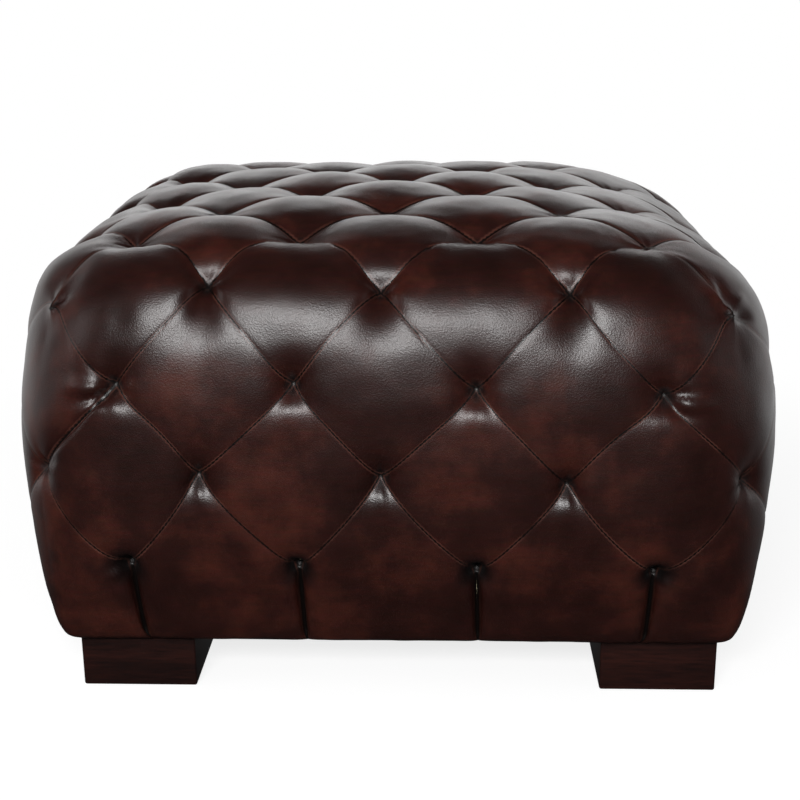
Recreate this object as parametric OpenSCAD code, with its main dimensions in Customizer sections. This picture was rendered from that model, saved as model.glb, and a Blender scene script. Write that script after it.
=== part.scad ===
// Square pouf: a leather cover tufted in diamonds over foam, on a plywood box with four block feet.
// The origin is on the floor under the middle. +X is to the right, +Y to the back and +Z up.

/* [Body] */
// Width over the crowns of the leather
body_w = 715; // [660:5:860]
// Depth over the crowns of the leather
body_d = 715; // [660:5:860]
// Height from the floor to the top of the crowns
body_h = 442; // [420:2:500]
// How far the side crowns stand out beyond the line of the tufts
crown_out = 37.5; // [30:0.5:42]
// How far the top crowns stand up above the tufts
crown_up = 30; // [24:0.5:34]
// Thickness of the leather with the wadding sewn behind it
cover_t = 3; // [2:0.25:4]
// How far the edge of the hem stays off the feet's bolts
hem_clear = 2; // [1:0.5:6]

/* [Feet] */
// Side of a square block foot
foot_w = 110; // [90:1:125]
// Height of a foot
foot_h = 50; // [35:1:70]
// Eased edge round the bottom of a foot
foot_ease = 4; // [1:0.5:8]
// How far a foot stands out beyond the box
foot_out = 4; // [0:0.5:6]

/* [Box] */
// Foam between the line of the side tufts and the box
side_pad = 20; // [18:0.5:26]
// Foam between the top tufts and the deck
top_pad = 55; // [45:1:70]
// Thickness of a plywood side panel
panel_t = 15; // [12:0.5:18]
// Thickness of the plywood deck
deck_t = 15; // [12:0.5:22]
// Leg of a triangular corner block
block_leg = 30; // [26:1:32]
// Wood of a bottom rail beyond the middle of the feet's bolts
rail_beyond = 9; // [7:0.5:14]
// Height of a bottom rail
rail_h = 22; // [18:1:30]
// Thickness of a foot plate
plate_t = 18; // [12:0.5:24]
// Side of a foot plate
plate_w = 125; // [110:1:140]
// Width of a deck bearer
bearer_w = 30; // [20:1:40]
// Height of a deck bearer
bearer_h = 60; // [45:1:70]

/* [Hardware] */
// Diameter of a foot's hanger bolt
bolt_d = 8; // [6:1:10]
// How deep the bolt is screwed into the foot
bolt_bite = 30; // [20:1:32]
// Diameter of a tee nut's flange
nut_d = 24; // [20:1:28]
// Diameter of a wood screw's shank
screw_d = 4; // [3:0.5:5]
// Length of a wood screw
screw_l = 45; // [35:1:50]
// Diameter of the tufting twine
twine_d = 2.4; // [1.5:0.1:3]
// Diameter of a washer behind a tuft
washer_d = 16; // [12:1:18]

/* [Hidden] */

leather_brown = "#3b1d17";
foam_cream = "#e8dcb0";
ply_birch = "#cfae78";
pine = "#d9bd86";
foot_stain = "#24100e";
steel_zinc = "#b9bcc0";
twine_white = "#e9e6dc";
cloth_black = "#1c1c1e";

// Air left between two pieces that don't press on each other, and the overrun of a cut
gap = 0.3;
over = 1;

// The tufts lie on a square lattice of half diamonds. A tuft is where the two counts add up to an
// even number, and a crown is where they add up to an odd one. Counts run from -reach to reach.
reach = 4;
// Steps across one half diamond on the outside of the cover. The inside has one.
cover_steps = 2;
// Height of a seam halfway between two tufts, from 0 at the tufts to 1 at the crowns, and how
// narrow the pits are: a pit with a share below 1 is narrower than a plain dome leaves it
seam_share = 0.9;
pit_share = 0.6;

// Rows down a side, counted in half diamonds from the top edge, and where the pleats start
pleat_row = 3;
under_row = 4;
fold_row = 4.5;
hem_row = 5;
coarse_rows = [0, 1, 2, pleat_row, 3.5, under_row, fold_row, hem_row];
foam_rows = [0, 1, 2, pleat_row, 3.5];
fine_rows = [for (k = [0 : cover_steps * under_row]) k / cover_steps, fold_row, hem_row];

// Row, then share of crown_out: how far the tufts and the crowns lie outside the line of the tufts
tuft_out_shares = [[0, -0.5], [0.5, -0.2], [1, 0], [2, 0.24], [3, 0], [4, -0.21], [4.5, -0.32]];
crown_out_shares = [
  [0, 0.23], [0.5, 0.77], [1, 0.96], [1.5, 1], [2, 1],
  [2.5, 0.9], [3, 0.7], [3.5, 0.25], [4, -0.21], [4.5, -0.32]
];
// The same on the upright corners, which are much rounder than the box
tuft_corner_shares = [[0, -0.5], [1, -0.4], [2, -0.32], [4.5, -0.32]];
crown_corner_shares = [[0, -0.5], [1, -0.1], [2, 0.02], [3, 0.02], [4, -0.1], [4.5, -0.32]];
// Row, then share of the cover's height: how far the tufts and the crowns lie below the top
tuft_drop_shares = [[0, 0.135], [1, 0.339], [2, 0.546], [3, 0.773], [4, 0.978], [4.5, 1], [5, 1]];
crown_drop_shares = [
  [0, 0.114], [0.5, 0.223], [1, 0.339], [2, 0.546], [3, 0.773], [4, 0.978], [4.5, 1], [5, 1]
];
// The four top corners hang a little lower than the edges between them
corner_drop_share = 0.046;
// Ring on the top, counted out from the middle, then share of crown_up that it lies lower
top_tuft_fall_shares = [[0, 0], [2, 0], [3, 0.25], [3.5, 0.5]];
top_crown_fall_shares = [[0, 0], [2, 0], [3, 0.21], [3.5, 0.65]];

// Levels, from the floor up
dust_t = 0.8;
dust_in = 14;
hem_z = foot_h + dust_t + gap;
box_z = hem_z + cover_t + gap;
rail_z = box_z + rail_h;
plate_z = rail_z + plate_t;
top_tuft_z = body_h - crown_up;
deck_z = top_tuft_z - top_pad;
deck_low = deck_z - deck_t;
cover_h = body_h - hem_z;

// Half sizes of the lattice, the box outside and the box inside, along X and Y
half = [body_w / 2 - crown_out, body_d / 2 - crown_out];
box = half - [side_pad, side_pad];
inner = box - [panel_t, panel_t];
foot_at = box + [foot_out - foot_w / 2, foot_out - foot_w / 2];

// Width of a bottom rail, and of the leather hem that is turned under the box
rail_w = foot_w / 2 - foot_out - panel_t + rail_beyond;
hem_w = foot_w / 2 - foot_out - bolt_d / 2 - hem_clear;

// Hardware sizes that follow from the ones above
hole_d = 10;
edge_hole_in = panel_t + block_leg / 2 + washer_d / 2;
washer_t = 1.5;
washer_bore = twine_d + 2 * gap;
knot_d = 2.2 * twine_d;
knot_l = 1.4 * twine_d;
bend_d = 1.1 * twine_d;
bolt_clear = 2 * gap;
barrel_d = 1.3 * bolt_d;
barrel_l = 0.7 * plate_t;
nut_t = 0.2 * bolt_d;
head_d = 2 * screw_d;
head_h = 0.5 * screw_d;
corners = [[-1, -1], [1, -1], [-1, 1], [1, 1]];
// Share of its run that a twine ends short of the leather, and that a slanting drilling runs past it
short_share = 0.03;
past_share = 0.2;
// The slanting drillings are this share as wide as the upright ones that they meet
slant_share = 0.8;
deck_screw_shares = [-0.8, -0.3, 0.3, 0.8];
panel_screw_shares = [0.22, 0.42, 0.8];
bearer_at = 1.5;
bearer_screw_shares = [-0.625, 0, 0.625];

function mix(a, b, t) = a * (1 - t) + b * t;
function part_of(x) = x - floor(x);
function hump(x) = pow(4 * part_of(x) * (1 - part_of(x)), pit_share);

// Puff of the leather at a lattice place: 0 at a tuft, seam_share halfway along a seam, 1 at a crown.
// The seams run along the diagonals of the lattice.
function puff(i, j) =
  let (a = hump((i + j) / 2), b = hump((i - j) / 2))
  seam_share * (1 - (1 - a) * (1 - b)) + (1 - seam_share) * a * b;

// Places on a side face as [along, out, height]. Side 0 is the front, 1 the right, 2 the back and
// 3 the left, and t is how far below the outside of the leather the place lies.
function side_out(v, t, h, low_shares, high_shares) =
  v >= hem_row ? -side_pad - hem_w
  : crown_out * mix(lookup(v, low_shares), lookup(v, high_shares), h) - t;
function side_place(s, i, v, t) =
  let (
    ends = s % 2 == 0 ? half : [half.y, half.x],
    h = puff(i, min(v, pleat_row)),
    w = pow(max(0, abs(i) * 2 / reach - 1), 3),
    corner = side_out(v, t, h, tuft_corner_shares, crown_corner_shares),
    face = side_out(v, t, h, tuft_out_shares, crown_out_shares),
    drop = mix(lookup(v, tuft_drop_shares), lookup(v, crown_drop_shares), h)
      + corner_drop_share * w * max(0, 1 - v),
    lift = v == 0 ? -t : v >= fold_row ? t : 0
  )
  [i * ends[0] / reach + sign(i) * w * corner,
   ends[1] + mix(face, corner, w),
   body_h - drop * cover_h + lift];

function turned(s, p) =
  s == 0 ? [p[0], -p[1], p[2]] : s == 1 ? [p[1], p[0], p[2]]
  : s == 2 ? [-p[0], p[1], p[2]] : [-p[1], -p[0], p[2]];
function side_point(s, i, v, t) = turned(s, side_place(s, i, v, t));

function top_point(i, j, t) =
  j == -reach ? side_point(0, i, 0, t)
  : i == reach ? side_point(1, j, 0, t)
  : j == reach ? side_point(2, -i, 0, t)
  : i == -reach ? side_point(3, -j, 0, t)
  : let (
      h = puff(i, j),
      r = max(abs(i), abs(j)),
      low = crown_up * (1 + lookup(r, top_tuft_fall_shares)),
      high = crown_up * lookup(r, top_crown_fall_shares),
      out = max(0, abs(i) * 2 / reach - 1) * max(0, abs(j) * 2 / reach - 1)
    )
    [i * half.x / reach, j * half.y / reach,
     body_h - mix(low, high, h) - corner_drop_share * cover_h * out * out - t];

function span(steps) = [for (k = [-reach * steps : reach * steps]) k / steps];
function top_grid(steps, t) = [for (j = span(steps)) [for (i = span(steps)) top_point(i, j, t)]];
function side_grid(s, rows, steps, t) =
  [for (v = rows) [for (i = span(steps)) side_point(s, i, v, t)]];
function column(grid, c) = [for (row = grid) row[c]];
function last(list) = list[len(list) - 1];

// Triangles of one cell whose corners are a, b, c and d, split from a to c or from b to d
function cell(a, b, c, d, split_ac, flip) =
  let (pair = split_ac ? [[a, b, c], [a, c, d]] : [[a, b, d], [b, c, d]])
  flip ? [for (t = pair) [t[2], t[1], t[0]]] : pair;
function sheet(grid, steps, flip) = [
  for (r = [0 : len(grid) - 2], c = [0 : len(grid[0]) - 2])
    each cell(grid[r][c], grid[r][c + 1], grid[r + 1][c + 1], grid[r + 1][c],
              (floor(r / steps) + floor(c / steps)) % 2 == 0, flip)
];
function wall(p, q, flip) =
  [for (k = [0 : len(p) - 2]) each cell(p[k], p[k + 1], q[k + 1], q[k], true, flip)];
// A wall from a fine edge to a coarse one that has one step for every even number of fine steps
function rim(fine, coarse, steps) = [
  for (k = [0 : len(coarse) - 2], m = [0 : steps - 1])
    [fine[k * steps + m], fine[k * steps + m + 1], coarse[m < steps / 2 ? k : k + 1]],
  for (k = [0 : len(coarse) - 2])
    [fine[k * steps + steps / 2], coarse[k + 1], coarse[k]]
];
function block(outside, inside, flip) = concat(
  sheet(outside, 1, flip), sheet(inside, 1, !flip),
  wall(inside[0], outside[0], flip), wall(last(outside), last(inside), flip),
  wall(column(outside, 0), column(inside, 0), flip),
  wall(column(inside, 2 * reach), column(outside, 2 * reach), flip)
);

module solid(triangles) {
  polyhedron(
    points = [for (t = triangles) each t],
    faces = [for (k = [0 : len(triangles) - 1]) [3 * k, 3 * k + 1, 3 * k + 2]],
    convexity = 10
  );
}

module rod(p, q, d, sides) {
  v = q - p;
  translate(p) rotate([0, acos(v.z / norm(v)), atan2(v.y, v.x)]) rotate(45)
    cylinder(h = norm(v), d = d, $fn = sides);
}

// Tufts. Each has the end of its twine behind the leather and the face that its washer bears on.
top_tufts = [for (i = [1 - reach : reach - 1], j = [1 - reach : reach - 1]) if ((i + j) % 2 == 0) [i, j]];
edge_tufts = [for (s = [0 : 3], i = [2 - reach : 2 : reach]) [s, i, 0]];
side_tufts = [
  for (s = [0 : 3], v = [1 : pleat_row], i = [2 - reach : reach]) if ((i + v) % 2 == 0) [s, i, v],
  for (s = [0 : 3], v = [1, pleat_row]) [s, 1 - reach, v]
];
behind = cover_t + gap;
function tuft_end(k) = side_point(k[0], k[1], k[2], behind);
function panel_face(k, deep) =
  let (
    p = side_place(k[0], k[1], k[2], behind),
    room = k[0] % 2 == 0 ? inner : [inner.y, inner.x]
  )
  k[1] == reach
    ? turned(k[0], [each [for (n = room) n - block_leg / 2 - deep * sqrt(1 / 2)], p[2]])
    : turned(k[0], [p[0], room[1] - deep, p[2]]);
function edge_hole(k, z) =
  let (
    room = (k[0] % 2 == 0 ? box : [box.y, box.x]) - [edge_hole_in, edge_hole_in],
    ends = k[0] % 2 == 0 ? half : [half.y, half.x]
  )
  turned(k[0], [k[1] == reach ? room[0] : k[1] * ends[0] / reach, room[1], z]);

module tufted_cover() {
  color(leather_brown) solid(concat(
    sheet(top_grid(cover_steps, 0), cover_steps, true),
    sheet(top_grid(1, cover_t), 1, false),
    [for (s = [0 : 3]) let (
        outside = side_grid(s, fine_rows, cover_steps, 0),
        inside = side_grid(s, coarse_rows, 1, cover_t)
      )
      each concat(
        sheet(outside, cover_steps, false), sheet(inside, 1, true),
        rim(last(outside), last(inside), cover_steps)
      )]
  ));
}

// The slanting and upright drillings that the row of tufts on the top edge is drawn through
module edge_drillings(d) {
  for (k = edge_tufts) {
    rod(edge_hole(k, deck_z), mix(edge_hole(k, deck_z), tuft_end(k), 1 + past_share), slant_share * d, 24);
    rod(edge_hole(k, deck_low - over), edge_hole(k, deck_z + d / 2), d, 24);
  }
}

module side_drillings(s, d) {
  for (k = side_tufts)
    if (k[0] == s || k[1] == reach)
      rod(panel_face(k, over), tuft_end(k) * 2 - panel_face(k, over), d, 24);
}

module top_foam() {
  floor_grid = [
    for (j = span(1)) [for (i = span(1)) [i * box.x / reach, j * box.y / reach, deck_z]]
  ];
  color(foam_cream) difference() {
    solid(block(top_grid(1, behind), floor_grid, true));
    for (k = top_tufts)
      translate([k.x * half.x / reach, k.y * half.y / reach, deck_z - over])
        cylinder(h = body_h - deck_z, d = hole_d, $fn = 24);
    edge_drillings(hole_d);
  }
}

module side_foam(s) {
  ends = s % 2 == 0 ? box : [box.y, box.x];
  outside = [
    for (v = foam_rows) [
      for (i = span(1)) side_point(s, i, v, behind) - (v == 0 ? [0, 0, gap] : [0, 0, 0])
    ]
  ];
  back = [
    for (r = [0 : len(foam_rows) - 1]) [
      for (i = span(1))
        turned(s, [i * ends[0] / reach, ends[1], r == 0 ? deck_z - gap : side_point(s, 0, foam_rows[r], 0).z])
    ]
  ];
  color(foam_cream) difference() {
    solid(block(outside, back, false));
    side_drillings(s, hole_d);
  }
}

// Profile of a countersunk wood screw, head at z = 0 and point down
module screw(extra) {
  rotate_extrude($fn = 24) polygon([
    [0, 0], [head_d / 2 + extra, 0], [screw_d / 2 + extra, -head_h - extra],
    [screw_d / 2 + extra, -screw_l + screw_d - extra], [0, -screw_l - extra]
  ]);
}

module deck_screw_places() {
  for (x = [-1, 1], t = deck_screw_shares) {
    translate([x * (box.x - panel_t / 2), t * box.y, deck_z]) children();
    translate([t * box.x, x * (box.y - panel_t / 2), deck_z]) children();
  }
  for (x = [-1, 1], t = bearer_screw_shares)
    translate([x * bearer_at * half.x / reach, t * half.y, deck_z]) children();
}

module panel_screw_places() {
  for (x = [-1, 1], y = [-1, 1]) {
    for (t = panel_screw_shares)
      translate([x * (box.x - panel_t / 2), y * box.y, mix(box_z, deck_low, t)])
        rotate([-90 * y, 0, 0]) children();
    translate([x * bearer_at * half.x / reach, y * box.y, deck_low - bearer_h / 2])
      rotate([-90 * y, 0, 0]) children();
  }
}

module deck() {
  color(ply_birch) difference() {
    translate([-box.x, -box.y, deck_low]) cube([2 * box.x, 2 * box.y, deck_t]);
    for (k = top_tufts)
      translate([k.x * half.x / reach, k.y * half.y / reach, deck_low - over])
        cylinder(h = deck_t + 2 * over, d = hole_d, $fn = 24);
    for (k = edge_tufts)
      translate(edge_hole(k, deck_low - over)) cylinder(h = deck_t + 2 * over, d = hole_d, $fn = 24);
    deck_screw_places() screw(gap / 2);
  }
}

module side_panel(s) {
  long = s % 2 == 0 ? box.x : inner.y;
  place = turned(s, [0, (s % 2 == 0 ? box.y : box.x) - panel_t / 2, mix(box_z, deck_low, 0.5)]);
  size = s % 2 == 0 ? [2 * long, panel_t, deck_low - box_z] : [panel_t, 2 * long, deck_low - box_z];
  color(ply_birch) difference() {
    translate(place) cube(size, center = true);
    side_drillings(s, hole_d / 2);
    deck_screw_places() screw(gap / 2);
    panel_screw_places() screw(gap / 2);
  }
}

module corner_block(c) {
  color(pine) difference() {
    translate([0, 0, plate_z]) linear_extrude(deck_low - plate_z) polygon([
      [c.x * inner.x, c.y * inner.y],
      [c.x * (inner.x - block_leg), c.y * inner.y],
      [c.x * inner.x, c.y * (inner.y - block_leg)]
    ]);
    side_drillings(0, hole_d / 2);
  }
}

module bolt_drillings(d) {
  for (c = corners) translate([c.x * foot_at.x, c.y * foot_at.y, 0]) cylinder(h = body_h, d = d, $fn = 32);
}

module long_rail(y) {
  color(pine) difference() {
    translate([-inner.x, y > 0 ? inner.y - rail_w : -inner.y, box_z]) cube([2 * inner.x, rail_w, rail_h]);
    bolt_drillings(bolt_d + bolt_clear);
  }
}

module short_rail(x) {
  color(pine) translate([x > 0 ? inner.x - rail_w : -inner.x, rail_w - inner.y, box_z])
    cube([rail_w, 2 * (inner.y - rail_w), rail_h]);
}

module deck_bearer(x) {
  color(pine) difference() {
    translate([x * bearer_at * half.x / reach - bearer_w / 2, -inner.y, deck_low - bearer_h])
      cube([bearer_w, 2 * inner.y, bearer_h]);
    deck_screw_places() screw(gap / 2);
    panel_screw_places() screw(gap / 2);
  }
}

module foot_plate(c) {
  color(ply_birch) difference() {
    translate([c.x > 0 ? inner.x - plate_w : -inner.x, c.y > 0 ? inner.y - plate_w : -inner.y, rail_z])
      cube([plate_w, plate_w, plate_t]);
    bolt_drillings(barrel_d + gap);
  }
}

// Outline of a foot seen from one side, with its bottom edges eased
module foot_outline() {
  polygon([
    [foot_ease - foot_w / 2, 0], [foot_w / 2 - foot_ease, 0], [foot_w / 2, foot_ease],
    [foot_w / 2, foot_h], [-foot_w / 2, foot_h], [-foot_w / 2, foot_ease]
  ]);
}

module foot(c) {
  color(foot_stain) translate([c.x * foot_at.x, c.y * foot_at.y, 0]) difference() {
    intersection() {
      rotate([90, 0, 0]) linear_extrude(foot_w, center = true) foot_outline();
      rotate([90, 0, 90]) linear_extrude(foot_w, center = true) foot_outline();
    }
    translate([0, 0, foot_h - bolt_bite - gap]) cylinder(h = body_h, d = bolt_d + gap, $fn = 32);
  }
}

module hanger_bolts() {
  color(steel_zinc) for (c = corners) translate([c.x * foot_at.x, c.y * foot_at.y, foot_h - bolt_bite])
    rotate_extrude($fn = 32) polygon([
      [0, 0], [bolt_d / 2, bolt_d / 2],
      [bolt_d / 2, plate_z - foot_h + bolt_bite], [0, plate_z - foot_h + bolt_bite]
    ]);
}

module tee_nuts() {
  color(steel_zinc) for (c = corners) translate([c.x * foot_at.x, c.y * foot_at.y, plate_z]) difference() {
    union() {
      cylinder(h = nut_t, d = nut_d, $fn = 48);
      translate([0, 0, -barrel_l]) cylinder(h = barrel_l + nut_t / 2, d = barrel_d, $fn = 48);
    }
    translate([0, 0, -plate_t]) cylinder(h = 2 * plate_t, d = bolt_d + gap / 2, $fn = 48);
  }
}

module deck_screws() {
  color(steel_zinc) deck_screw_places() screw(0);
}

module panel_screws() {
  color(steel_zinc) panel_screw_places() screw(0);
}

// A knot that bears on the far side of a washer, with the twine's run from there to its tuft
module tied(from, knot, to) {
  low = knot + (knot - from) * (knot_l / norm(knot - from));
  union() {
    rod(low, to, twine_d, 8);
    rod(low, knot, knot_d, 8);
  }
}

module washer(face, deep) {
  way = (deep - face) * (washer_t / norm(deep - face));
  difference() {
    rod(face, face + way, washer_d, 32);
    rod(face - way, face + 2 * way, washer_bore, 32);
  }
}

module top_tuft_twines() {
  color(twine_white) for (k = top_tufts) let (
      x = k.x * half.x / reach, y = k.y * half.y / reach, face = [x, y, deck_low]
    )
    tied(face, face - [0, 0, washer_t], top_point(k.x, k.y, behind) - [0, 0, gap]);
}

module top_tuft_washers() {
  color(steel_zinc) for (k = top_tufts)
    let (face = [k.x * half.x / reach, k.y * half.y / reach, deck_low])
    washer(face, face - [0, 0, washer_t]);
}

// The edge twines run straight up through the deck and bend over to the edge of the top foam
module edge_tuft_twines() {
  color(twine_white) for (k = edge_tufts) union() {
    tied(edge_hole(k, deck_low), edge_hole(k, deck_low - washer_t), edge_hole(k, deck_z));
    translate(edge_hole(k, deck_z)) sphere(d = bend_d, $fn = 16);
    rod(edge_hole(k, deck_z), mix(tuft_end(k), edge_hole(k, deck_z), short_share), twine_d, 8);
  }
}

module edge_tuft_washers() {
  color(steel_zinc) for (k = edge_tufts) washer(edge_hole(k, deck_low), edge_hole(k, deck_low - washer_t));
}

module side_tuft_twines() {
  color(twine_white) for (k = side_tufts)
    tied(panel_face(k, 0), panel_face(k, washer_t), mix(tuft_end(k), panel_face(k, 0), short_share));
}

module side_tuft_washers() {
  color(steel_zinc) for (k = side_tufts) washer(panel_face(k, 0), panel_face(k, washer_t));
}

module dust_cover() {
  w = half.x + crown_out * last(tuft_out_shares)[1] - dust_in;
  d = half.y + crown_out * last(tuft_out_shares)[1] - dust_in;
  color(cloth_black) difference() {
    translate([-w, -d, foot_h]) cube([2 * w, 2 * d, dust_t]);
    bolt_drillings(bolt_d + bolt_clear);
  }
}

tufted_cover();
top_foam();
side_foam(0);  // front_foam
side_foam(1);  // right_foam
side_foam(2);  // back_foam
side_foam(3);  // left_foam
deck();
side_panel(0);  // front_panel
side_panel(1);  // right_panel
side_panel(2);  // back_panel
side_panel(3);  // left_panel
corner_block([-1, -1]);  // corner_block_front_left
corner_block([1, -1]);  // corner_block_front_right
corner_block([-1, 1]);  // corner_block_back_left
corner_block([1, 1]);  // corner_block_back_right
long_rail(-1);  // front_rail
long_rail(1);  // back_rail
short_rail(-1);  // left_rail
short_rail(1);  // right_rail
deck_bearer(-1);  // deck_bearer_left
deck_bearer(1);  // deck_bearer_right
foot_plate([-1, -1]);  // foot_plate_front_left
foot_plate([1, -1]);  // foot_plate_front_right
foot_plate([-1, 1]);  // foot_plate_back_left
foot_plate([1, 1]);  // foot_plate_back_right
foot([-1, -1]);  // foot_front_left
foot([1, -1]);  // foot_front_right
foot([-1, 1]);  // foot_back_left
foot([1, 1]);  // foot_back_right
hanger_bolts();
tee_nuts();
deck_screws();
panel_screws();
top_tuft_twines();
edge_tuft_twines();
side_tuft_twines();
top_tuft_washers();
edge_tuft_washers();
side_tuft_washers();
dust_cover();
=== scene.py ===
import math
import random

import bmesh
import bpy
import numpy as np
from mathutils import Matrix, Vector, noise


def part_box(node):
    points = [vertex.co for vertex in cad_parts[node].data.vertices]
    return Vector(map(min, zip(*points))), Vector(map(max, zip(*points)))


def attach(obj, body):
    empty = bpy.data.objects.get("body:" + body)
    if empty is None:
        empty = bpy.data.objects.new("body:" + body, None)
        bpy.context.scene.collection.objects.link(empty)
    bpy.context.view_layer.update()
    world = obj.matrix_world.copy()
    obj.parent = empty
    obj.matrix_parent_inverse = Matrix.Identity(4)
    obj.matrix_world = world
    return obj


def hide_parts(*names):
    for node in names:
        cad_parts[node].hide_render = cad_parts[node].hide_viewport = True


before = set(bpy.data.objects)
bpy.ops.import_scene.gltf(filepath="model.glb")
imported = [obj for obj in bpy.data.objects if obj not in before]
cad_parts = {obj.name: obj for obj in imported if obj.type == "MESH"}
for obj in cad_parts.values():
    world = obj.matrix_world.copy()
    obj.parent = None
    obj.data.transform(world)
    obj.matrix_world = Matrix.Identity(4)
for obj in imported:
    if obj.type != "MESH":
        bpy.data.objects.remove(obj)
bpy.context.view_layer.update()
scene = bpy.context.scene

# Plywood box
# Birch plywood: a 15 mm deck and four 15 mm side panels, with 18 mm foot plates, sawn, glued and screwed.
# It is left raw, so its faces show pale rotary-cut birch and its sawn edges show the plies.
PLY_BAND = 0.011054  # m from one dark ply to the next, drawn coarser than the real 2.7 mm so that it shows
# How far apart, in m, the bands of a wave texture lie at a scale of 1. Diagonal ones lie twice as far apart
# along an axis.
WAVE = math.pi / 10


def linear(code):
    """A colour written as an sRGB hex value, as the linear colour that Blender works in."""
    parts = [int(code[k : k + 2], 16) / 255 for k in (1, 3, 5)]
    return tuple(c / 12.92 if c <= 0.04045 else ((c + 0.055) / 1.055) ** 2.4 for c in parts) + (1.0,)


def add_node(owner, kind, inputs=None, to=None, stops=(), **settings):
    """Adds a node to a material or to the world. An input is a value or the socket linked to it, stops are
    the colours of a ramp, and to is the socket that the node's output goes to."""
    tree = owner.node_tree
    node = tree.nodes.new(kind)
    for name, value in settings.items():
        setattr(node, name, value)
    for name, value in (inputs or {}).items():
        if isinstance(value, bpy.types.NodeSocket):
            tree.links.new(value, node.inputs[name])
        else:
            node.inputs[name].default_value = value
    for k, (at, code) in enumerate(stops):
        stop = node.color_ramp.elements[k] if k < 2 else node.color_ramp.elements.new(at)
        stop.position = at
        stop.color = linear(code)
    if to:
        tree.links.new(next(o for o in node.outputs if o.enabled), to)
    return node


def new_material(name, roughness, **surface):
    material = bpy.data.materials.new(name)
    material.use_nodes = True
    shader = material.node_tree.nodes["Principled BSDF"]
    shader.inputs["Roughness"].default_value = roughness
    for key, value in surface.items():
        shader.inputs[key.replace("_", " ")].default_value = value
    return material, shader


def dress(names, material):
    for name in names:
        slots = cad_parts[name].data.materials
        slots.clear()
        slots.append(material)


def plywood(name, across):
    """Raw birch plywood whose plies are stacked along the axis across."""
    material, shader = new_material(name, roughness=0.62)
    place = add_node(material, "ShaderNodeTexCoord").outputs["Object"]
    stretch = add_node(material, "ShaderNodeMapping", {"Vector": place, "Scale": (3, 24, 24)}).outputs[0]
    grain = add_node(
        material, "ShaderNodeTexNoise", {"Vector": stretch, "Scale": 5.0, "Detail": 5.0}
    ).outputs["Fac"]
    face = add_node(
        material, "ShaderNodeValToRGB", {"Fac": grain}, stops=[(0.3, "#d8bd8c"), (0.7, "#c7a26b")]
    ).outputs["Color"]
    plies = add_node(
        material, "ShaderNodeTexWave",
        {"Vector": place, "Scale": WAVE / PLY_BAND, "Distortion": 0.6, "Detail Scale": 4.0},
        bands_direction=across,
    ).outputs["Fac"]
    edge = add_node(
        material, "ShaderNodeValToRGB", {"Fac": plies}, stops=[(0.35, "#8a6338"), (0.6, "#d2b27c")]
    ).outputs["Color"]
    turned = add_node(material, "ShaderNodeNewGeometry").outputs["Normal"]
    parts = add_node(material, "ShaderNodeSeparateXYZ", {"Vector": turned})
    facing = add_node(
        material, "ShaderNodeMath", {0: parts.outputs[across]}, operation="ABSOLUTE"
    ).outputs[0]
    add_node(
        material, "ShaderNodeMix", {"Factor": facing, "A": edge, "B": face},
        to=shader.inputs["Base Color"], data_type="RGBA",
    )
    add_node(
        material, "ShaderNodeBump", {"Height": grain, "Strength": 0.25, "Distance": 0.0004},
        to=shader.inputs["Normal"],
    )
    return material


corners = ["front_left", "front_right", "back_left", "back_right"]
dress(["deck"] + ["foot_plate_" + c for c in corners], plywood("birch plywood, flat", "Z"))
dress(["front_panel", "back_panel"], plywood("birch plywood, facing front", "Y"))
dress(["left_panel", "right_panel"], plywood("birch plywood, facing sideways", "X"))

# Pine rails, corner blocks and deck bearers
# Planed pine, glued and screwed inside the box under the deck and round the bottom.
# It is pale yellow with darker growth lines and a dull, slightly fuzzy face.
RING = 0.011166  # m from one growth line to the next, drawn coarser than real so that they show


def pine(name, stretch_by):
    """Planed pine whose grain runs along the axis that stretch_by shortens most."""
    material, shader = new_material(name, roughness=0.58)
    scale = 2 * WAVE / (RING * 2**0.5)
    place = add_node(material, "ShaderNodeTexCoord").outputs["Object"]
    stretch = add_node(material, "ShaderNodeMapping", {"Vector": place, "Scale": stretch_by}).outputs[0]
    rings = add_node(
        material, "ShaderNodeTexWave",
        {"Vector": stretch, "Scale": scale, "Distortion": 5.0, "Detail": 2.0, "Detail Scale": 0.35},
        bands_direction="DIAGONAL",
    ).outputs["Fac"]
    fibre = add_node(material, "ShaderNodeTexNoise", {"Vector": stretch, "Scale": 240.0, "Detail": 3.0})
    colour = add_node(
        material, "ShaderNodeValToRGB", {"Fac": rings}, stops=[(0.15, "#e2c893"), (0.9, "#c9964f")]
    ).outputs["Color"]
    add_node(
        material, "ShaderNodeMix", {"Factor": 0.25, "A": colour, "B": fibre.outputs["Color"]},
        to=shader.inputs["Base Color"], data_type="RGBA", blend_type="SOFT_LIGHT",
    )
    add_node(
        material, "ShaderNodeBump", {"Height": fibre.outputs["Fac"], "Strength": 0.3, "Distance": 0.0003},
        to=shader.inputs["Normal"],
    )
    return material


dress(["corner_block_" + c for c in corners], pine("planed pine, upright", (1.0, 1.0, 0.06)))
dress(["front_rail", "back_rail"], pine("planed pine, along the front", (0.06, 1.0, 1.0)))
dress(
    ["left_rail", "right_rail", "deck_bearer_left", "deck_bearer_right"],
    pine("planed pine, along the sides", (1.0, 0.06, 1.0)),
)

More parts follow.
